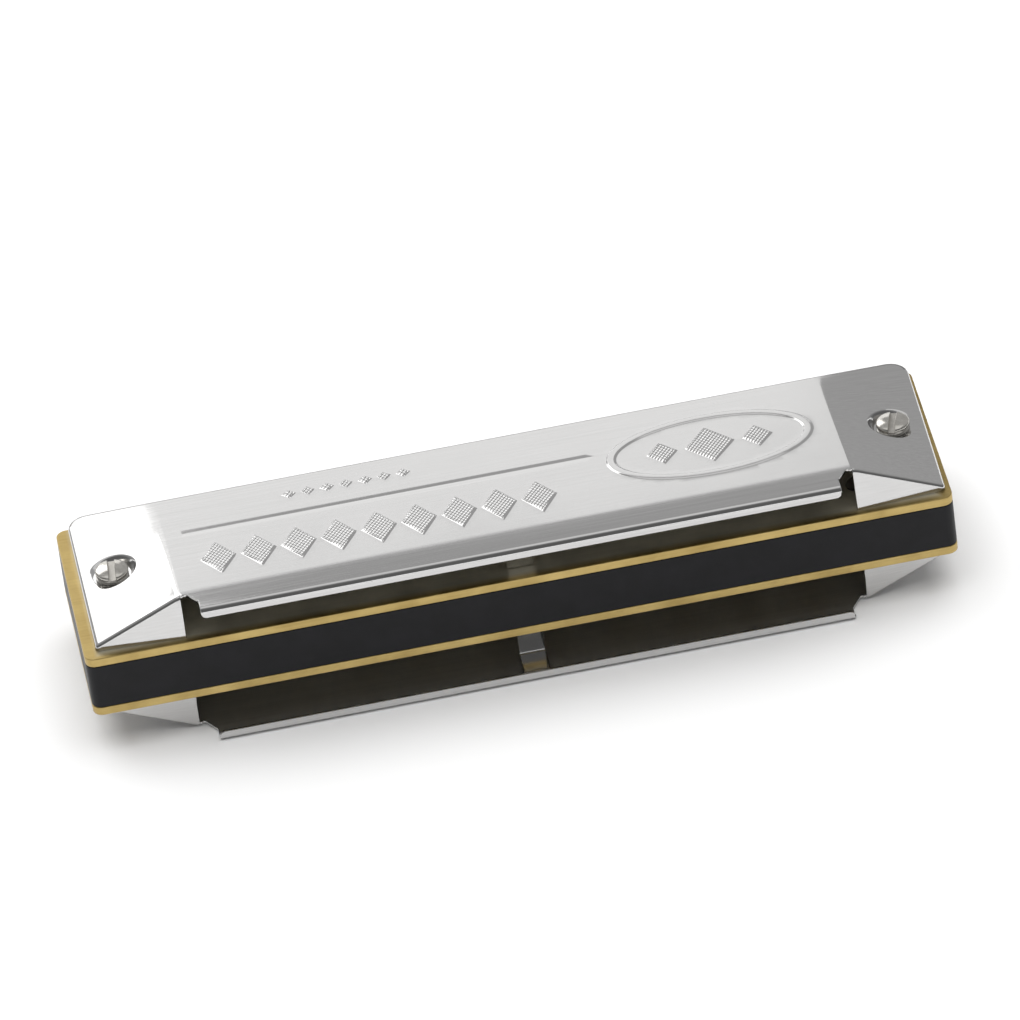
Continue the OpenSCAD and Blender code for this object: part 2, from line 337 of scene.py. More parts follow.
def ornament():
    """Generic decoration on the upper cover: (shape, height, edge width, dotted)."""
    oval_x, oval_y = -24.6, -0.6
    shapes = lozenge_row(count=9, first_x=33.8, pitch=4.7, y=4.0, half_w=2.15, half_h=3.9)
    shapes += lozenge_row(count=7, first_x=24.0, pitch=2.25, y=-7.6, half_w=0.9, half_h=1.05,
                          raised=0.6 * EMBOSS_H, edge=0.22)
    oval = Oval(oval_x, oval_y, half_w=11.6, half_h=6.6, width=1.3)
    shapes.append((oval, EMBOSS_H, EMBOSS_EDGE, False))
    ringed = [Lozenge(oval_x, oval_y, 3.0, 4.2)]
    ringed += [Lozenge(oval_x + side * 5.6, oval_y, 1.9, 2.6) for side in (-1, 1)]
    shapes += [(lozenge, EMBOSS_H, EMBOSS_EDGE, True) for lozenge in ringed]
    engraved = Groove(x_low=-11.4, x_high=37.0, y=-3.0, width=0.12)
    shapes.append((engraved, -0.025, 0.06, False))
    return shapes


class Top:
    """Heights of one cover's top, outer face at depth 0 and inner face at the sheet's thickness."""

    def __init__(self, shapes):
        self.shapes = shapes

    def height(self, x, y, depth):
        h = panel_height(x, y)
        for shape, raised, edge, _ in self.shapes:
            h = h + raised * smooth(shape.depth(x, y) / edge)
        from_screw = np.hypot(np.abs(x) - SCREW_X, y) - depth
        mix = smooth((from_screw - DIMPLE_FLOOR_R) / (DIMPLE_RIM_R - DIMPLE_FLOOR_R))
        return SEAT_H + (h - SEAT_H) * mix - depth

    def slopes(self, x, y, depth):
        e = SLOPE_STEP
        along = (self.height(x + e, y, depth) - self.height(x - e, y, depth)) / (2 * e)
        across = (self.height(x, y + e, depth) - self.height(x, y - e, depth)) / (2 * e)
        return along, across

    def stipple(self, x, y):
        mark = np.zeros_like(x)
        for shape, _, edge, dotted in self.shapes:
            if dotted:
                mark = np.maximum(mark, smooth(shape.depth(x, y) / edge))
        return mark


def skirt_places():
    """Outer outline of the covers' walls as (x, y, normal x, normal y, fold radius), from the
    +X flank's inner edge round the front to the -X flank's."""
    half = []
    flat_x = COVER_HALF - PLAN_REAR_R
    for x in np.linspace(FLANK_IN, flat_x, 19):
        wide = (flat_x - x) / (flat_x - FLANK_IN)
        half.append((x, FLANK_Y, 0.0, 1.0, FOLD_R + (FOLD_WIDE_R - FOLD_R) * wide))
    for a in np.radians([67.5, 45, 22.5]):
        half.append((flat_x + PLAN_REAR_R * math.cos(a), FLANK_Y - PLAN_REAR_R * (1 - math.sin(a)),
                     math.cos(a), math.sin(a), FOLD_R))
    front_flat = FRONT_Y + PLAN_FRONT_R
    for y in np.linspace(FLANK_Y - PLAN_REAR_R, front_flat, 27):
        half.append((COVER_HALF, y, 1.0, 0.0, FOLD_R))
    for k in range(1, 12):
        a = math.radians(7.5 * k)
        half.append((COVER_HALF - PLAN_FRONT_R * (1 - math.cos(a)), front_flat - PLAN_FRONT_R * math.sin(a),
                     math.cos(a), -math.sin(a), FOLD_R + (FRONT_R - FOLD_R) * smooth(k / 12)))
    for x in np.linspace(COVER_HALF - PLAN_FRONT_R, 0, 60):
        half.append((x, FRONT_Y, 0.0, -1.0, FRONT_R))
    mirrored = [(-x, y, -nx, ny, r) for x, y, nx, ny, r in reversed(half[:-1])]
    return half + mirrored


def lip_stations():
    """Places along the rear lip, finer where its corners are rounded."""
    corner = 0.6
    flat = LIP_HALF - corner
    ends = [flat + corner * math.sin(a) for a in np.radians([15, 30, 45, 60, 75, 90])]
    middle = list(np.linspace(-flat, flat, 75))
    return [-x for x in reversed(ends)] + middle + ends, corner, flat


def notch_places():
    """The cut-out between a flank and the lip on the +X side, from the flank to the bend."""
    apex_x, apex_y, apex_r = 38.75, 11.42, 0.42
    places = [(FLANK_IN, FLANK_Y - FOLD_WIDE_R)]
    for a in np.radians([-35, -60, -85, -110, -135]):
        places.append((apex_x + apex_r * math.cos(a), apex_y + apex_r * math.sin(a)))
    elbow_y, ease = 12.75, 0.22
    (from_x, from_y), (to_x, to_y) = places[-1], (LIP_HALF + ease, elbow_y - ease)
    for t in (0.25, 0.5, 0.75):
        places.append((from_x + (to_x - from_x) * t, from_y + (to_y - from_y) * t))
    places += [(to_x, to_y), (LIP_HALF + 0.06, elbow_y - 0.02)]
    places += [(LIP_HALF, y) for y in (12.95, 13.3, 13.65, 14.0)]
    return places


def inside_loop(points, loop):
    """Which points lie inside a closed loop."""
    px, py = points[:, 0], points[:, 1]
    found = np.zeros(len(points), dtype=bool)
    for (ax, ay), (bx, by) in zip(loop, np.roll(loop, -1, axis=0)):
        crosses = (ay > py) != (by > py)
        with np.errstate(divide="ignore", invalid="ignore"):
            at = ax + (py - ay) * (bx - ax) / (by - ay)
        found ^= crosses & (px < at)
    return found


def ring(x, y, r, count):
    return [(x + r * math.cos(a), y + r * math.sin(a))
            for a in np.linspace(0, 2 * math.pi, count + 1)[:-1]]


def away_from(points, loops, gap):
    """Drops the points that lie closer than gap to any loop's points."""
    near = np.zeros(len(points), dtype=bool)
    for loop in loops:
        for x, y in loop:
            near |= (points[:, 0] - x) ** 2 + (points[:, 1] - y) ** 2 < gap * gap
    return points[~near]


def cover_surface(top):
    """Points of both faces of the sheet with their normals, the outer face's faces, and the
    points along the front fold, where a dark reflection is painted into the steel's colour."""
    skirt = skirt_places()
    stations, corner, flat = lip_stations()
    notch = notch_places()
    fold_line = [(x - nx * r, y - ny * r) for x, y, nx, ny, r in skirt]
    bend_y = REAR_Y - BEND_R
    rear_line = [(x, bend_y) for x in stations]
    loop = fold_line + [(-x, y) for x, y in notch[1:]] + rear_line + list(reversed(notch[1:]))
    boundary = np.array(loop)

    features = [line for shape, _, _, _ in top.shapes for line in shape.outlines()]
    closed = [not isinstance(shape, Groove) for shape, _, _, _ in top.shapes for _ in shape.outlines()]
    for side in (-1, 1):
        for r in (BOLT_HOLE_R,) + DIMPLE_RINGS:
            features.append(ring(side * SCREW_X, 0, r, 64))
            closed.append(True)

    xs = list(np.linspace(-PANEL_HALF + 1.2, PANEL_HALF - 1.2, 78))
    for side in (-1, 1):
        xs += [side * (PANEL_HALF + t * CREASE) for t in (-2, -1, -0.6, -0.2, 0.2, 0.6, 1, 2)]
        xs += [side * x for x in np.linspace(PANEL_HALF + 1.5, COVER_HALF - 0.9, 9)]
    ys = list(np.linspace(FRONT_Y + FRONT_R + 0.25, ROLL_Y, 24))
    ys += list(np.linspace(ROLL_Y + 0.35, bend_y - 0.2, 11))
    grid = np.array([(x, y) for x in sorted(xs) for y in ys])
    grid = grid[inside_loop(grid, boundary)]
    grid = away_from(grid, [loop], 0.3)
    grid = away_from(grid, features, 0.3)
    for side in (-1, 1):
        grid = grid[np.hypot(grid[:, 0] - side * SCREW_X, grid[:, 1]) > DIMPLE_RIM_R + 0.4]

    flat_points = list(loop)
    edges = [(k, (k + 1) % len(loop)) for k in range(len(loop))]
    for line, shut in zip(features, closed):
        start = len(flat_points)
        flat_points += line
        edges += [(start + k, start + k + 1) for k in range(len(line) - 1)]
        if shut:
            edges.append((start + len(line) - 1, start))
    flat_points += [tuple(p) for p in grid]
    found = delaunay_2d_cdt([Vector(p) for p in flat_points], edges, [], 0, 1e-7)
    plan = np.array([tuple(v) for v in found[0]])
    if len(plan) != len(flat_points):
        raise RuntimeError("the cover's plan has crossing or doubled lines")
    order = [group[0] for group in found[3]]
    place = np.empty(len(order), dtype=int)
    place[order] = np.arange(len(order))
    triangles = np.array(found[2])
    middles = plan[triangles].mean(axis=1)
    keep = inside_loop(middles, boundary)
    for side in (-1, 1):
        keep &= np.hypot(middles[:, 0] - side * SCREW_X, middles[:, 1]) > BOLT_HOLE_R * 0.99
    a, b, c = (plan[triangles[:, k]] for k in range(3))
    area = (b[:, 0] - a[:, 0]) * (c[:, 1] - a[:, 1]) - (b[:, 1] - a[:, 1]) * (c[:, 0] - a[:, 0])
    keep &= np.abs(area) > 1e-9
    faces = [tuple(t) if s > 0 else tuple(t[::-1]) for t, s in zip(triangles[keep], area[keep])]

    faces_points = []
    for depth, facing in ((0.0, 1.0), (SHEET_T, -1.0)):
        x, y = plan[:, 0], plan[:, 1]
        along, across = top.slopes(x, y, depth)
        points = np.column_stack([x, y, top.height(x, y, depth)])
        normals = np.column_stack([-along, -across, np.ones_like(x)])
        normals *= (facing / np.linalg.norm(normals, axis=1))[:, None]
        faces_points.append((points.tolist(), normals.tolist()))

    turns = np.radians([15, 30, 45, 60, 75, 90])
    fold_painted_points = []

    def strip(line, ids, foot, lean=0.0):
        """Folds the sheet down from a boundary line: an arc, then a wall down to foot. Walls
        that face the rear stand out by lean at their feet."""
        rows = [ids]
        for step, turn in enumerate(list(turns) + ["wall", "foot"]):
            row = []
            for k, (x, y, nx, ny, r) in enumerate(line):
                row.append(len(faces_points[0][0]))
                # The upper rows of the front-facing fold get a painted dark reflection.
                if step < 3 and ny < -0.2:
                    fold_painted_points.append(row[-1])
                for (points, normals), depth, facing in zip(faces_points, (0.0, SHEET_T), (1.0, -1.0)):
                    out = lean * max(ny, 0.0)
                    whole = math.pi / 2 - math.atan(out)
                    turned = turn * whole / (math.pi / 2) if isinstance(turn, float) else whole
                    reach = (r - depth) * math.sin(turned)
                    px, py = x - nx * r + nx * reach, y - ny * r + ny * reach
                    ground = float(panel_height(np.array([px]), np.array([py]))[0])
                    h = ground - depth - (r - depth) * (1 - math.cos(turned))
                    e = SLOPE_STEP
                    gx = float(panel_height(np.array([px + e]), np.array([py]))[0] - ground) / e
                    gy = float(panel_height(np.array([px]), np.array([py + e]))[0] - ground) / e
                    low = foot(px)
                    fall = {"wall": 0.5, "foot": 1.0}.get(turn, 0.0) * (h - low)
                    h -= fall
                    px, py = px + nx * out * fall, py + ny * out * fall
                    c, s = math.cos(turned), math.sin(turned)
                    normal = np.array([nx * s - gx * c, ny * s - gy * c, c]) * facing
                    points.append([px, py, max(h, low)])
                    normals.append(list(normal / np.linalg.norm(normal)))
            rows.append(row)
        for upper, lower in zip(rows, rows[1:]):
            for k in range(len(line) - 1):
                faces.append((upper[k], lower[k], lower[k + 1], upper[k + 1]))

    skirt_ids = [int(place[k]) for k in range(len(skirt))]
    strip(list(reversed(skirt)), list(reversed(skirt_ids)), lambda x: FOOT, FLANK_LEAN)
    first = len(fold_line) + len(notch) - 1
    rear_ids = [int(place[first + k]) for k in range(len(rear_line))]

    def lip_foot(x):
        past = max(abs(x) - flat, 0.0)
        return LIP_FREE + RIM_OUT + corner - math.sqrt(max(corner ** 2 - past ** 2, 0.0))

    strip([(x, REAR_Y, 0.0, 1.0, BEND_R) for x in reversed(stations)], list(reversed(rear_ids)), lip_foot)
    return faces_points, faces, fold_painted_points


def close_sheet(faces_points, faces):
    """Joins the outer and inner face of a sheet with a rounded rim along every free edge."""
    (outer, outer_n), (inner, inner_n) = faces_points
    count = len(outer)
    points = outer + inner
    normals = outer_n + inner_n
    where = np.array(points)
    all_faces = list(faces) + [tuple(count + v for v in reversed(f)) for f in faces]
    used = {}
    for f in faces:
        for a, b in zip(f, f[1:] + f[:1]):
            used[(a, b)] = f
    free = [(a, b, f) for (a, b), f in used.items() if (b, a) not in used]
    out = {v: np.zeros(3) for a, b, _ in free for v in (a, b)}
    for a, b, f in free:
        edge = where[b] - where[a]
        if edge @ edge < 1e-8:
            continue
        away = where[a] - where[list(f)].mean(axis=0)
        away = away - edge * (away @ edge) / (edge @ edge)
        for v in (a, b):
            out[v] = out[v] + away / np.linalg.norm(away)
    # Where the lip's corner meets the bend, some points coincide: they share one direction.
    for a, b, _ in free:
        for v, other in ((a, b), (b, a)):
            if not out[v].any():
                out[v] = out[other]
    shape = [(0.92, 0.62), (0.62, 1.0), (-0.62, 1.0), (-0.92, 0.62)]
    rows = {}
    for v, away in out.items():
        middle, half = (where[v] + where[count + v]) / 2, (where[v] - where[count + v]) / 2
        away = away - half * (away @ half) / (half @ half)
        away = away / np.linalg.norm(away)
        ids = [v]
        for up, reach in shape:
            ids.append(len(points))
            points.append(list(middle + half * up + away * RIM_OUT * reach))
            lean = {0.62: 0.35, 0.92: 0.8}[abs(up)] * (1 if up > 0 else -1)
            normal = half / np.linalg.norm(half) * lean + away * math.sqrt(1 - lean * lean)
            normals.append(list(normal / np.linalg.norm(normal)))
        ids.append(count + v)
        rows[v] = ids
    for a, b, _ in free:
        for k in range(len(shape) + 1):
            all_faces.append((rows[b][k], rows[a][k], rows[a][k + 1], rows[b][k + 1]))
    return points, normals, all_faces


def bent_strip(path, width, thickness):
    """A closed strip of sheet that follows path, a list of (y, h) along its middle."""
    points, faces = [], []
    bevel = 0.1
    half_w, half_t = width / 2, thickness / 2
    section = [(half_w - bevel, half_t), (half_w, half_t - bevel), (half_w, bevel - half_t),
               (half_w - bevel, -half_t), (bevel - half_w, -half_t), (-half_w, bevel - half_t),
               (-half_w, half_t - bevel), (bevel - half_w, half_t)]
    for k, (y, h) in enumerate(path):
        before, after = path[max(k - 1, 0)], path[min(k + 1, len(path) - 1)]
        ty, th = after[0] - before[0], after[1] - before[1]
        size = math.hypot(ty, th)
        ny, nh = -th / size, ty / size
        for across, out in section:
            points.append([across, y + ny * out, h + nh * out])
    n = len(section)
    for k in range(len(path) - 1):
        for s in range(n):
            a, b = k * n + s, k * n + (s + 1) % n
            faces.append((a, b, b + n, a + n))
    faces.append(tuple(reversed(range(n))))
    faces.append(tuple((len(path) - 1) * n + s for s in range(n)))
    return points, faces


def leg_path(fold_y, foot_y):
    """Middle line of the prop leg: down from the lip, forward, and down to the reed plate."""
    bend = 0.4
    lip_y, fold_y, foot_y = (y - SHEET_T / 2 for y in (REAR_Y, fold_y, foot_y))
    level = LIP_FREE + SHEET_T / 2
    turns = np.radians([22.5, 45, 67.5, 90])
    path = [(lip_y, level + bend)]
    path += [(lip_y - bend * (1 - math.cos(a)), level + bend * (1 - math.sin(a))) for a in turns]
    path.append((fold_y + bend, level))
    path += [(fold_y + bend * (1 - math.sin(a)), level - bend * (1 - math.cos(a))) for a in turns]
    path.append((foot_y, LEG_GAP))
    return path


def make_cover(name, node, shapes, flip, material):
    top = Top(shapes)
    faces_points, faces, front_fold = cover_surface(top)
    points, normals, faces = close_sheet(faces_points, faces)
    array = np.array(points)
    number, outer_count = np.arange(len(points)), len(faces_points[0][0])
    marks = {"stipple": top.stipple(array[:, 0], array[:, 1]),
             "inside": (number >= outer_count) & (number < 2 * outer_count),
             # marks the front fold's upper rows for a painted dark reflection
             "fold_painted_dark": np.isin(number, front_fold)}
    array[:, 2] += PLATE_TOP
    mesh = make_mesh(name, array, faces, flip, normals, marks)
    cover = link(mesh, name, material)
    stand_for(cover, "cover", node)
    path = leg_path(*(LOWER_LEG_Y if flip else UPPER_LEG_Y))
    leg_points, leg_faces = bent_strip(path, LEG_W, LEG_T)
    leg_points = np.array(leg_points)
    leg_points[:, 2] += PLATE_TOP
    leg = link(make_mesh(name + "_leg", leg_points, leg_faces, flip), name + "_leg", material)
    leg.data.set_sharp_from_angle(angle=math.radians(40))
    stand_for(leg, "cover", node)
    return cover


# --- Plates and comb: flat shapes with rounded edges ---

def rounded_box(length, width, r, steps=8):
    points = []
    for sx, sy, start in ((1, 1, 0), (-1, 1, 90), (-1, -1, 180), (1, -1, 270)):
        for k in range(steps + 1):
            a = math.radians(start + 90 * k / steps)
            points.append((sx * (length / 2 - r) + r * math.cos(a), sy * (width / 2 - r) + r * math.sin(a)))
    return points


def rectangle(x, half_w, y_low, y_high):
    return [(x - half_w, y_low), (x + half_w, y_low), (x + half_w, y_high), (x - half_w, y_high)]


def flat_solid(name, loops, z_low, z_high, edge_r, material):
    """A slab with the first loop as outline and the others as openings, all edges rounded."""
    curve = bpy.data.curves.new(name + "_outline", "CURVE")
    curve.dimensions = "2D"
    curve.fill_mode = "BOTH"
    curve.extrude = (z_high - z_low) / 2 - edge_r
    curve.bevel_depth = edge_r
    curve.bevel_resolution = 2
    curve.offset = -edge_r
    for loop in loops:
        spline = curve.splines.new("POLY")
        spline.points.add(len(loop) - 1)
        for point, (x, y) in zip(spline.points, loop):
            point.co = (x, y, 0, 1)
        spline.use_cyclic_u = True
    holder = bpy.data.objects.new(name + "_outline", curve)
    mesh = bpy.data.meshes.new_from_object(holder)
    mesh.name = name
    bpy.data.objects.remove(holder)
    bpy.data.curves.remove(curve)
    bm = bmesh.new()
    bm.from_mesh(mesh)
    bmesh.ops.remove_doubles(bm, verts=bm.verts, dist=0.0005)
    bmesh.ops.recalc_face_normals(bm, faces=bm.faces)
    for v in bm.verts:
        v.co = (v.co.x * MM, (v.co.y + BODY_Y) * MM, (v.co.z + (z_low + z_high) / 2) * MM)
    bm.to_mesh(mesh)
    bm.free()
    mesh.materials.clear()
    mesh.shade_smooth()
    mesh.set_sharp_from_angle(angle=math.radians(50))
    obj = link(mesh, name, material)
    weigh_normals(obj)
    return obj


def make_comb(material):
    """The comb: a rounded slab with ten chambers open towards the mouth."""
    chambers = []
    for i in range(HOLES):
        end = BLOW_ROOT_Y + reed_length(i) + CHAMBER_PAST
        x, r = hole_x(i), CHAMBER_R
        mouth, left, right = -BODY_W / 2, x - CHAMBER_W / 2, x + CHAMBER_W / 2
        chambers += [(left, mouth), (left, end - r)]
        for a in np.radians([150, 120, 90]):
            chambers.append((left + r + r * math.cos(a), end - r + r * math.sin(a)))
        for a in np.radians([90, 60, 30]):
            chambers.append((right - r + r * math.cos(a), end - r + r * math.sin(a)))
        chambers += [(right, end - r), (right, mouth)]
    corners = rounded_box(BODY_L, BODY_W, CORNER_R)
    before_last = len(corners) * 3 // 4
    outline = corners[:before_last] + chambers + corners[before_last:]
    holes = [ring(side * SCREW_X + COVER_X, 0, BOLT_HOLE_R, 24) for side in (-1, 1)]
    comb = flat_solid("comb_body", [outline] + holes, -COMB_TOP, COMB_TOP, COMB_EDGE_R, material)
    stand_for(comb, "comb", "comb")


def make_plate(name, node, upper, material):
    """A reed plate with its slots, rivet holes and screw holes."""
    loops = [rounded_box(BODY_L, BODY_W, CORNER_R)]
    for i in range(HOLES):
        half = reed_width(i) / 2 + REED_GAP
        if upper:
            low, high = BLOW_ROOT_Y - ROOT_GAP, BLOW_ROOT_Y + reed_length(i) + TIP_GAP
            rivet_y = BLOW_ROOT_Y - RIVET_INSET
        else:
            low, high = DRAW_TIP_Y - TIP_GAP, DRAW_TIP_Y + reed_length(i) + ROOT_GAP
            rivet_y = DRAW_TIP_Y + reed_length(i) + RIVET_INSET
        loops += [rectangle(hole_x(i), half, low, high), ring(hole_x(i), rivet_y, RIVET_HOLE_R, 20)]
    for side in (-1, 1):
        loops.append(ring(side * SCREW_X + COVER_X, 0, BOLT_HOLE_R, 24))
        for y in (-PIN_Y, PIN_Y):
            loops.append(ring(side * PIN_X, y, PIN_HOLE_R, 32))
    loops.append(ring(0, MIDDLE_PIN_Y, PIN_HOLE_R, 32))
    z = (COMB_TOP, PLATE_TOP) if upper else (-PLATE_TOP, -COMB_TOP)
    plate = flat_solid(name, loops, z[0], z[1], PLATE_EDGE_R, material)
    stand_for(plate, "reed_plate", node)


# --- Screws and nuts ---

def lathe(profile, count, x, y):
    """A closed solid turned about a vertical axis, from (radius, height) points, ends capped."""
    points, faces = [], []
    for r, h in profile:
        for px, py in ring(x, y, r, count):
            points.append([px, py, h])
    for row in range(len(profile) - 1):
        for k in range(count):
            a, b = row * count + k, row * count + (k + 1) % count
            faces.append((a, b, b + count, a + count))
    faces.append(tuple(reversed(range(count))))
    faces.append(tuple((len(profile) - 1) * count + k for k in range(count)))
    return points, faces


def screw_head(x0, base, turn):
    """A domed head with an open slot, standing on base."""
    edge_x = DRIVE_W / 2
    outer = [HEAD_R * math.sin(a) for a in np.radians([18, 28, 38, 48, 58, 67, 75, 82])]
    right = [edge_x - SLOT_LEAN, edge_x, edge_x + SLOT_BEVEL] + outer
    drops = [True] + [False] * (len(right) - 1)
    columns = [(-x, d) for x, d in reversed(list(zip(right, drops)))] + list(zip(right, drops))
    rows = 25
    points, faces = [], []

    def dome(r):
        t = min(r / HEAD_R, 1.0)
        past = max(t - SHOULDER_FROM, 0) / (1 - SHOULDER_FROM)
        return HEAD_H - CROWN * t ** 2.0 - SHOULDER * (1 - math.sqrt(max(1 - past ** 2, 0.0)))

    floor = HEAD_H - DRIVE_DEPTH
    for x, dropped in columns:
        reach = math.sqrt(HEAD_R ** 2 - x ** 2)
        for j in range(rows):
            y = reach * math.sin(math.pi / 2 * (2 * j / (rows - 1) - 1))
            h = floor if dropped else dome(math.hypot(x, y))
            if abs(x) == edge_x:
                h -= SLOT_BEVEL
            points.append([x, y, h])
    n = len(columns)
    for i in range(n - 1):
        for j in range(rows - 1):
            a = i * rows + j
            faces.append((a, a + rows, a + rows + 1, a + 1))
    border = [i * rows for i in range(n)] + [(n - 1) * rows + j for j in range(1, rows)]
    border += [i * rows + rows - 1 for i in range(n - 2, -1, -1)] + list(range(rows - 2, 0, -1))
    low, foot = [], []
    for v in border:
        x, y, h = points[v]
        out = HEAD_R / math.hypot(x, y)
        low.append(len(points))
        points.append([x * out, y * out, RIM_H])
        foot.append(len(points))
        points.append([x * out * 0.96, y * out * 0.96, 0.0])
    m = len(border)
    for k in range(m):
        k2 = (k + 1) % m
        faces.append((border[k], low[k], low[k2], border[k2]))
        faces.append((low[k], foot[k], foot[k2], low[k2]))
    faces.append(tuple(reversed(foot)))
    c, s = math.cos(turn), math.sin(turn)
    return [[x0 + x * c - y * s, x * s + y * c, base + h] for x, y, h in points], faces


def join(parts):
    points, faces = [], []
    for some_points, some_faces in parts:
        start = len(points)
        points += some_points
        faces += [tuple(start + v for v in f) for f in some_faces]
    return points, faces


def turned_piece(name, parts, sharp_degrees, material, slot_floor=None):
    """One object from several closed solids. Points at the height slot_floor are marked as cut."""
    points, faces = join(parts)
    in_slot = [slot_floor is not None and abs(h - slot_floor) < 0.001 for _, _, h in points]
    mesh = make_mesh(name, points, faces, marks={"machined": in_slot})
    bm = bmesh.new()
    bm.from_mesh(mesh)
    bmesh.ops.recalc_face_normals(bm, faces=bm.faces)
    bm.to_mesh(mesh)
    bm.free()
    mesh.shade_smooth()
    mesh.set_sharp_from_angle(angle=math.radians(sharp_degrees))
    return link(mesh, name, material)


def make_screws(material):
    """Two slotted cover screws, with their threaded bolts down to the nuts."""
    seat = PLATE_TOP + SEAT_H
    parts = []
    for side, turn in ((-1, math.radians(-15)), (1, math.radians(-4.5))):
        parts.append(screw_head(side * SCREW_X, seat, turn))
        end = -seat - NUT_H
        profile = [(BOLT_R - 0.2, end), (BOLT_R, end + 0.2)]
        for k in range(8):
            crest = end + 0.35 + THREAD_PITCH * k
            profile += [(BOLT_R, crest), (BOLT_R - THREAD_DEPTH, crest + THREAD_PITCH / 2)]
        profile += [(BOLT_R - 0.04, end + 3.0), (BOLT_R - 0.04, seat + 0.3)]
        parts.append(lathe(profile, 32, side * SCREW_X, 0))
    screws = turned_piece("screws_slotted", parts, 38, material, seat + HEAD_H - DRIVE_DEPTH)
    stand_for(screws, "fastener", "cover_screws")


def nut(x0, low):
    """A hexagon nut with chamfered corners, standing on low."""
    count = 72
    flat_r = NUT_FLATS / 2
    hole_r = BOLT_R + 0.03
    points, faces = [], []

    def hexagon(a):
        return flat_r / math.cos((a + math.pi / 6) % (math.pi / 3) - math.pi / 6)

    slope = math.tan(math.radians(30))
    rows = [(lambda a: hole_r, 0.15), (lambda a: hole_r + 0.15, 0.0), (lambda a: flat_r * 0.95, 0.0),
            (hexagon, None), (hexagon, "top"), (lambda a: flat_r * 0.95, NUT_H),
            (lambda a: hole_r + 0.15, NUT_H), (lambda a: hole_r, NUT_H - 0.15)]
    for radius, h in rows:
        for k in range(count):
            a = 2 * math.pi * k / count
            r = radius(a)
            drop = (r - flat_r * 0.95) * slope
            level = drop if h is None else NUT_H - drop if h == "top" else h
            points.append([x0 + r * math.cos(a), r * math.sin(a), low + level])
    n = len(rows)
    for row in range(n):
        for k in range(count):
            a, b = row * count + k, row * count + (k + 1) % count
            c, d = (row + 1) % n * count + (k + 1) % count, (row + 1) % n * count + k
            faces.append((a, b, c, d))
    return points, faces


def make_nuts(material):
    low = -PLATE_TOP - SEAT_H - NUT_H
    parts = [nut(side * SCREW_X, low) for side in (-1, 1)]
    nuts = turned_piece("nuts_hexagon", parts, 30, material)
    stand_for(nuts, "fastener", "cover_nuts")


# --- Materials ---

class Nodes:
    """Short ways to add nodes to a new material."""

    def __init__(self, name):
        self.material = bpy.data.materials.new(name)
        self.material.use_nodes = True
        self.tree = self.material.node_tree
        self.tree.nodes.clear()
        self.shader = self.add("ShaderNodeBsdfPrincipled")
        out = self.add("ShaderNodeOutputMaterial")
        self.join(self.shader.outputs[0], out.inputs["Surface"])
        self.place = self.add("ShaderNodeTexCoord").outputs["Object"]

    def add(self, kind, **settings):
        node = self.tree.nodes.new(kind)
        for key, value in settings.items():
            setattr(node, key, value)
        return node

    def join(self, a, b):
        self.tree.links.new(a, b)

    def mark(self, name):
        """A value from the mesh's points."""
        return self.add("ShaderNodeAttribute", attribute_name=name).outputs["Fac"]

    def axes(self):
        """The object's own coordinates, by axis."""
        node = self.add("ShaderNodeSeparateXYZ")
        self.join(self.place, node.inputs[0])
        return node.outputs

    def noise(self, stretch, scale, detail=3.0, rough=0.55):
        """Noise over the object. scale is features per millimetre; stretch scales each axis."""
        mapping = self.add("ShaderNodeMapping")
        mapping.inputs["Scale"].default_value = [s / MM for s in stretch]
        self.join(self.place, mapping.inputs["Vector"])
        noise = self.add("ShaderNodeTexNoise")
        noise.inputs["Scale"].default_value = scale
        noise.inputs["Detail"].default_value = detail
        noise.inputs["Roughness"].default_value = rough
        self.join(mapping.outputs[0], noise.inputs["Vector"])
        return noise.outputs["Fac"]

    def ramp(self, value, stops):
        """Colours along a value. stops is [(place, (r, g, b)), ...]."""
        node = self.add("ShaderNodeValToRGB")
        elements = node.color_ramp.elements
        while len(elements) < len(stops):
            elements.new(0.5)
        for element, (at, colour) in zip(elements, stops):
            element.position = at
            element.color = (*colour, 1)
        self.join(value, node.inputs[0])
        return node.outputs[0]

    def spread(self, value, low, high, in_low=0.3, in_high=0.7):
        node = self.add("ShaderNodeMapRange")
        for key, number in (("From Min", in_low), ("From Max", in_high), ("To Min", low), ("To Max", high)):
            node.inputs[key].default_value = number
        self.join(value, node.inputs["Value"])
        return node.outputs[0]

    def math(self, kind, a, b):
        node = self.add("ShaderNodeMath", operation=kind)
        for socket, value in zip(node.inputs, (a, b)):
            if isinstance(value, (int, float)):
                socket.default_value = value
            else:
                self.join(value, socket)
        return node.outputs[0]

    def mix(self, amount, first, second):
        """Blends two colours, each a socket or a plain colour."""
        node = self.add("ShaderNodeMix", data_type="RGBA")
        self.join(amount, node.inputs["Factor"])
        for socket, value in ((node.inputs[6], first), (node.inputs[7], second)):
            if isinstance(value, tuple):
                socket.default_value = (*value, 1)
            else:
                self.join(value, socket)
        return node.outputs[2]

    def bump(self, height, distance, before=None):
        """Bump whose full height is distance millimetres."""
        node = self.add("ShaderNodeBump")
        node.inputs["Distance"].default_value = distance * MM
        node.inputs["Strength"].default_value = 1.0
        self.join(height, node.inputs["Height"])
        if before is not None:
            self.join(before, node.inputs["Normal"])
        self.join(node.outputs[0], self.shader.inputs["Normal"])
        return node.outputs[0]

    def set(self, **values):
        names = {"metal": "Metallic", "rough": "Roughness", "colour": "Base Color", "ior": "IOR",
                 "specular": "Specular IOR Level"}
        for key, value in values.items():
            socket = self.shader.inputs[names[key]]
            if hasattr(value, "is_linked"):
                self.join(value, socket)
            else:
                socket.default_value = value
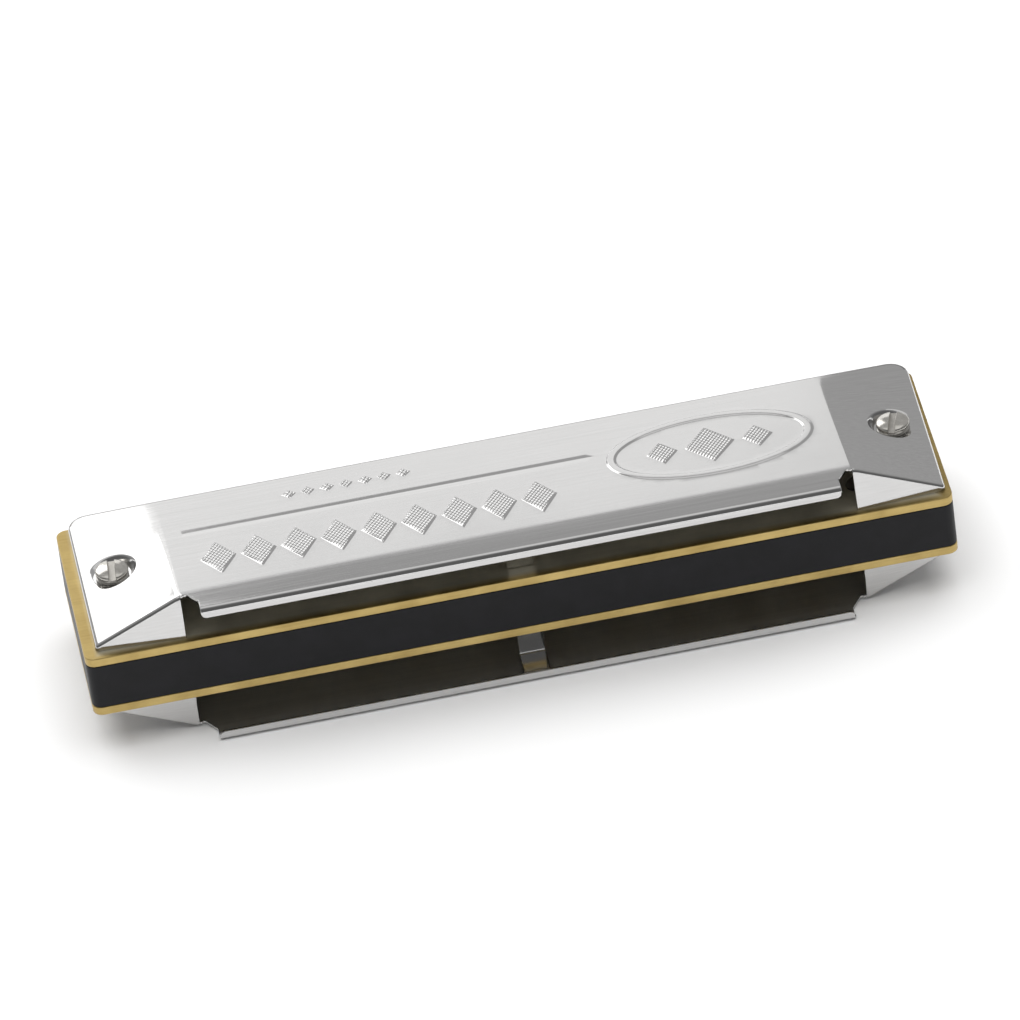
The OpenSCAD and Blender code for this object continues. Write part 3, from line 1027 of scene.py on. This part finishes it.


# A painted dark reflection: the steel's colour along the covers' front folds.
FOLD_PAINTED_DARK = (0.23, 0.225, 0.22)   # steel along the covers' front folds
INSIDE_ROUGH = 0.42               # roughness added on the covers' inner faces
# Brass colours under the covers, painted lighter and greyer than the open brass: painted fill light for the
# dim space under the covers.
PAINTED_FILL_LOW = (0.40, 0.375, 0.29)    # brass under the covers, darkest and lightest
PAINTED_FILL_HIGH = (0.58, 0.54, 0.42)


def cover_steel():
    """Polished sheet steel with a fine lengthwise grain, duller inside, with a painted dark
    reflection along the front fold. Embossed fields are knurled with small dots."""
    n = Nodes("cover_steel")
    streaks = n.noise((0.05, 4.5, 4.5), 1.0, 4.0, 0.6)
    clouds = n.noise((1, 1, 1), 0.08, 2.0)
    inside = n.mark("inside")
    bright = n.ramp(streaks, [(0.25, (0.575, 0.57, 0.565)), (0.75, (0.65, 0.645, 0.64))])
    # Along the front fold the colour is darkened: a painted dark reflection.
    fold_painted_dark = n.mark("fold_painted_dark")
    n.set(metal=1.0, colour=n.mix(fold_painted_dark, bright, FOLD_PAINTED_DARK))
    rough = n.math("ADD", n.spread(streaks, 0.07, 0.12), n.spread(clouds, 0.0, 0.02))
    n.set(rough=n.math("ADD", rough, n.math("MULTIPLY", inside, INSIDE_ROUGH)))
    grain = n.bump(streaks, 0.0014)
    place = n.axes()
    waves = [n.math("SINE", n.math("MULTIPLY", place[axis], 2 * math.pi / (pitch * MM)), 0.0)
             for axis, pitch in (("X", DOT_PITCH_X), ("Y", DOT_PITCH_Y))]
    dots = n.math("MULTIPLY", waves[0], waves[1])
    mark = n.mark("stipple")
    n.bump(n.math("MULTIPLY", dots, mark), 0.04, before=grain)
    return n.material


def brass(name, stretch, low, high, rough_low, rough_high, bump, dulled_and_fill_painted=False):
    """Rolled brass with a light patina in clouds, with marks that run along one direction. Where the
    covers hide a plate, it can be made rougher, less metallic, and painted lighter and greyer: painted fill
    light."""
    n = Nodes(name)
    marks = n.noise(stretch, 1.0, 4.0, 0.65)
    clouds = n.noise((1, 1, 1), 0.22, 3.0)
    tint = n.math("ADD", n.math("MULTIPLY", marks, 0.35), n.math("MULTIPLY", clouds, 0.65))
    colour = n.ramp(tint, [(0.3, low), (0.68, high)])
    rough = n.math("ADD", n.spread(marks, rough_low, rough_high), n.spread(clouds, 0.0, 0.08))
    if dulled_and_fill_painted:
        place = n.axes()
        past_end = n.math("SUBTRACT", n.math("ABSOLUTE", place["X"], 0.0), (COVER_HALF - 0.6) * MM)
        past_rear = n.math("SUBTRACT", place["Y"], (PLATE_HIGH[1] - 0.8) * MM)
        past_front = n.math("SUBTRACT", (FRONT_Y + BODY_Y) * MM, place["Y"])
        outside = n.math("MAXIMUM", past_end, n.math("MAXIMUM", past_rear, past_front))
        open_air = n.spread(outside, 0.0, 1.0, -0.5 * MM, 0.5 * MM)
        # Under the covers the colour is painted lighter and greyer: painted fill light.
        colour = n.mix(open_air, n.ramp(tint, [(0.3, PAINTED_FILL_LOW), (0.68, PAINTED_FILL_HIGH)]), colour)
        rough = n.math("ADD", rough, n.spread(open_air, 0.05, 0.0, 0.0, 1.0))
        n.set(metal=n.spread(open_air, 0.6, 1.0, 0.0, 1.0))
    else:
        n.set(metal=1.0)
    n.set(colour=colour, rough=rough)
    n.bump(marks, bump)
    return n.material


def comb_plastic():
    """Black moulded plastic, satin, with a very fine grain and soft mottling."""
    n = Nodes("comb_plastic")
    grain = n.noise((1, 1, 1), 5.0, 3.0)
    clouds = n.noise((1, 1, 1), 0.25, 2.0)
    n.set(metal=0.0, ior=1.5, specular=0.2,
          colour=n.ramp(clouds, [(0.3, (0.006, 0.006, 0.007)), (0.7, (0.010, 0.010, 0.012))]),
          rough=n.math("ADD", n.spread(grain, 0.36, 0.44), n.spread(clouds, 0.0, 0.06)))
    n.bump(grain, 0.006)
    return n.material


def screw_steel():
    """Nickel-plated steel with fine handling marks, rougher where a slot was cut."""
    n = Nodes("screw_steel")
    marks = n.noise((1, 1, 1), 1.6, 5.0, 0.7)
    cut = n.mark("machined")
    n.set(metal=1.0, colour=n.ramp(marks, [(0.3, (0.54, 0.52, 0.48)), (0.7, (0.68, 0.66, 0.62))]),
          rough=n.math("ADD", n.spread(marks, 0.09, 0.17), n.math("MULTIPLY", cut, 0.35)))
    n.bump(marks, 0.004)
    return n.material


def floor_white():
    """Plain matt white."""
    n = Nodes("floor_white")
    clouds = n.noise((1, 1, 1), 0.01, 2.0)
    n.set(metal=0.0, rough=0.9, specular=0.1,
          colour=n.ramp(clouds, [(0.3, (0.88, 0.88, 0.88)), (0.7, (0.90, 0.90, 0.90))]))
    return n.material


STEEL = cover_steel()
PLATE_BRASS = brass("plate_brass", stretch=(0.06, 3.0, 3.0), low=(0.36, 0.255, 0.09),
                    high=(0.60, 0.455, 0.185), rough_low=0.30, rough_high=0.42, bump=0.004, dulled_and_fill_painted=True)
REED_BRASS = brass("reed_brass", stretch=(5.0, 0.12, 5.0), low=(0.46, 0.345, 0.155),
                   high=(0.64, 0.50, 0.26), rough_low=0.24, rough_high=0.36, bump=0.005)
RIVET_BRASS = brass("rivet_brass", stretch=(1.5, 1.5, 1.5), low=(0.50, 0.39, 0.19),
                    high=(0.68, 0.54, 0.30), rough_low=0.18, rough_high=0.3, bump=0.006)
PLASTIC = comb_plastic()
SCREW_STEEL = screw_steel()

# --- Pieces ---

make_comb(PLASTIC)
make_plate("reed_plate_upper", "upper_reed_plate", True, PLATE_BRASS)
make_plate("reed_plate_lower", "lower_reed_plate", False, PLATE_BRASS)
make_cover("cover_upper_pressed", "upper_cover", ornament(), False, STEEL)
make_cover("cover_lower_pressed", "lower_cover", [], True, STEEL)
make_screws(SCREW_STEEL)
make_nuts(SCREW_STEEL)


def kept_finish(node):
    """Material of a CAD node that stays: reeds, their roots and rivets, and the plate screws."""
    if node.endswith("_plate_screws"):
        return SCREW_STEEL
    if node.endswith("_reed_rivets"):
        return RIVET_BRASS
    return REED_BRASS if node.startswith(("blow_reed_", "draw_reed_")) else None


for node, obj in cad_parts.items():
    finish = kept_finish(node)
    if finish:
        for s in obj.material_slots:
            s.material = finish

# --- Floor, light and camera ---

def make_floor():
    """A level floor, 12 m each way, that the harmonica's lowest point touches."""
    half, steps = 6.0, 4
    places = [-half + 2 * half * i / steps for i in range(steps + 1)]
    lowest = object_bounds()[0][2]
    grid = [(x, y, lowest) for x in places for y in places]
    mesh = bpy.data.meshes.new("floor")
    starts = [i * (steps + 1) + j for i in range(steps) for j in range(steps)]
    faces = [(a, a + steps + 1, a + steps + 2, a + 1) for a in starts]
    mesh.from_pydata(grid, [], faces)
    link(mesh, "floor", floor_white())


def towards(azimuth, elevation):
    """Unit vector from the harmonica, from angles in radians."""
    return Vector((math.sin(azimuth) * math.cos(elevation),
                   -math.cos(azimuth) * math.cos(elevation), math.sin(elevation)))


def softbox(name, azimuth, elevation, distance, width, height, power, roll=0):
    """A soft rectangular light that faces the harmonica, metres and degrees. Azimuth 0 is
    towards -Y and 90 towards +X."""
    away = towards(math.radians(azimuth), math.radians(elevation))
    data = bpy.data.lights.new(name, "AREA")
    data.shape = "RECTANGLE"
    data.size, data.size_y = width, height
    data.energy = power
    lamp = bpy.data.objects.new(name, data)
    lamp.location = away * distance
    turned = away.to_track_quat("Z", "Y") @ Quaternion((0, 0, 1), math.radians(roll))
    lamp.rotation_euler = turned.to_euler()
    lamp.visible_camera = False
    bpy.context.scene.collection.objects.link(lamp)
    return lamp


def studio_world():
    """A room that is bright above and in front of the harmonica and dim behind the camera."""
    world = bpy.data.worlds.new("studio")
    world.use_nodes = True
    tree = world.node_tree
    where = tree.nodes.new("ShaderNodeTexCoord")
    facing = tree.nodes.new("ShaderNodeVectorMath")
    facing.operation = "DOT_PRODUCT"
    facing.inputs[1].default_value = (0.0, -0.8, 0.6)
    level = tree.nodes.new("ShaderNodeMapRange")
    level.interpolation_type = "SMOOTHSTEP"
    for key, number in (("From Min", 0.0), ("From Max", 0.8), ("To Min", 0.15), ("To Max", 0.47)):
        level.inputs[key].default_value = number
    background = tree.nodes["Background"]
    tree.links.new(where.outputs["Generated"], facing.inputs[0])
    tree.links.new(facing.outputs["Value"], level.inputs["Value"])
    tree.links.new(level.outputs[0], background.inputs["Strength"])
    background.inputs["Color"].default_value = (1.0, 1.0, 1.0, 1)
    bpy.context.scene.world = world


def make_light():
    """The front box and the end boxes are seen mirrored in the covers. The floor box isn't
    mirrored in anything: it is there to whiten the floor."""
    studio_world()
    softbox("front_box", azimuth=3.3, elevation=14.5, distance=0.72, width=0.32, height=0.25, power=0.18)
    softbox("end_box_high", azimuth=23.2, elevation=34.2, distance=0.45, width=0.266, height=0.18,
            power=0.24, roll=-9)
    softbox("end_box_low", azimuth=25.5, elevation=21.5, distance=0.42, width=0.17, height=0.07,
            power=0.06, roll=-6)
    softbox("top_box", azimuth=0, elevation=82, distance=1.8, width=1.8, height=1.2, power=2.6)
    softbox("back_strip", azimuth=178, elevation=7, distance=1.6, width=3.0, height=0.3, power=3.6)
    above = softbox("floor_box", azimuth=0, elevation=90, distance=2.2, width=3.0, height=3.0, power=64.0)
    above.visible_glossy = False


def make_camera():
    """At the photograph's angle: behind the harmonica, high up and far away."""
    azimuth, elevation, roll = math.radians(175.008), math.radians(36.028), math.radians(-7.798)
    distance = 1335.70
    target = Vector((-1.112, -2.359, 3.365))
    back = towards(azimuth, elevation)
    data = bpy.data.cameras.new("camera")
    data.sensor_width = 36.0
    data.lens = 407.39
    data.clip_end = 50.0
    camera = bpy.data.objects.new("camera", data)
    camera.location = (target + back * distance) * MM
    level = (-back).to_track_quat("-Z", "Y")
    camera.rotation_mode = "QUATERNION"
    camera.rotation_quaternion = level @ Quaternion((0, 0, 1), roll)
    bpy.context.scene.collection.objects.link(camera)
    bpy.context.scene.camera = camera


make_floor()
make_light()
make_camera()
bpy.context.scene.view_settings.view_transform = "Standard"
